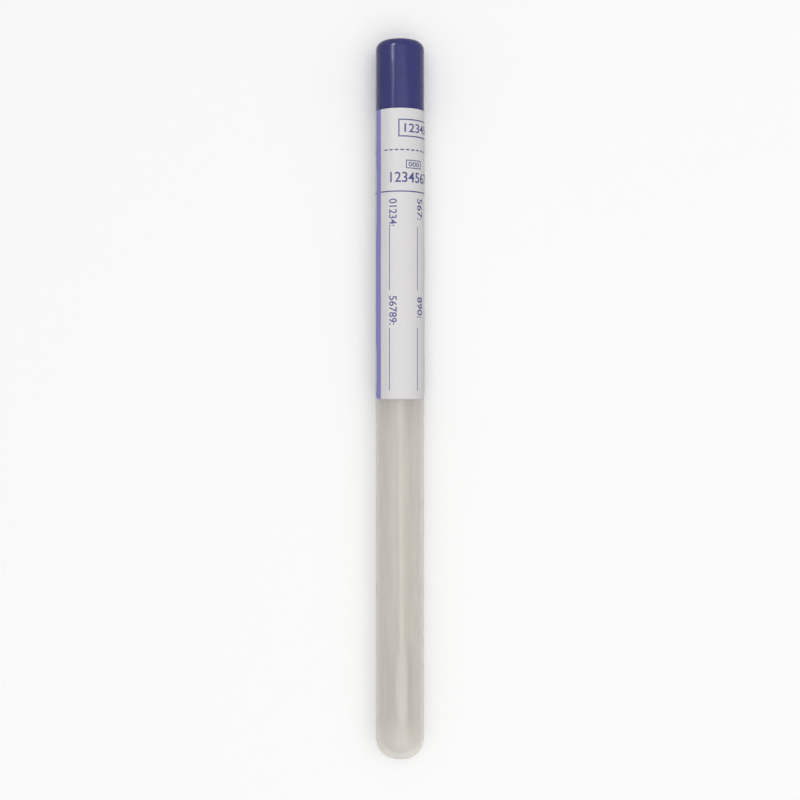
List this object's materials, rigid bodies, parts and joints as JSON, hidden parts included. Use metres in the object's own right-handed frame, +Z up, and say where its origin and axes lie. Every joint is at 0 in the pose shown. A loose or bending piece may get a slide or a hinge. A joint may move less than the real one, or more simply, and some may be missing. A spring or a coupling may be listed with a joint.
{
  "type": "specimen swab tube",
  "caption": "Round-bottomed specimen tube with a plug cap that carries a fibre-tipped swab stick, sealed by a perforated paper label.",
  "frame": {"origin": "middle of the lowest line of the label, which the lying tube rests on", "axes": "+Y along the tube's axis towards the cap, +Z up, +X to the right seen from above with the cap ahead"},
  "size_m": [0.0122, 0.1774, 0.0122],
  "materials": {
    "tube": "milky translucent polypropylene, satin",
    "cap": "semi-gloss dark violet-blue polyethylene",
    "stick": "satin off-white polystyrene",
    "bud": "matt wound fibre",
    "label": "smooth uncoated white paper",
    "stripe_ink": "solid violet-blue ink on paper",
    "print_ink": "thin blue ink on paper"
  },
  "bodies": {
    "tube_body": {"tube": "tube", "label_wrap": "label", "wrap_stripe": "stripe_ink", "wrap_print": "print_ink"},
    "cap_body": {"cap": "cap", "swab_stick": "stick", "swab_bud": "bud", "label_tab": "label", "tab_stripe": "stripe_ink", "tab_print": "print_ink"}
  },
  "joints": [
    {"name": "cap_pull", "type": "slide", "parent": "tube_body", "child": "cap_body", "axis": [0, 1, 0], "range_m": [0, 0.15]}
  ]
}
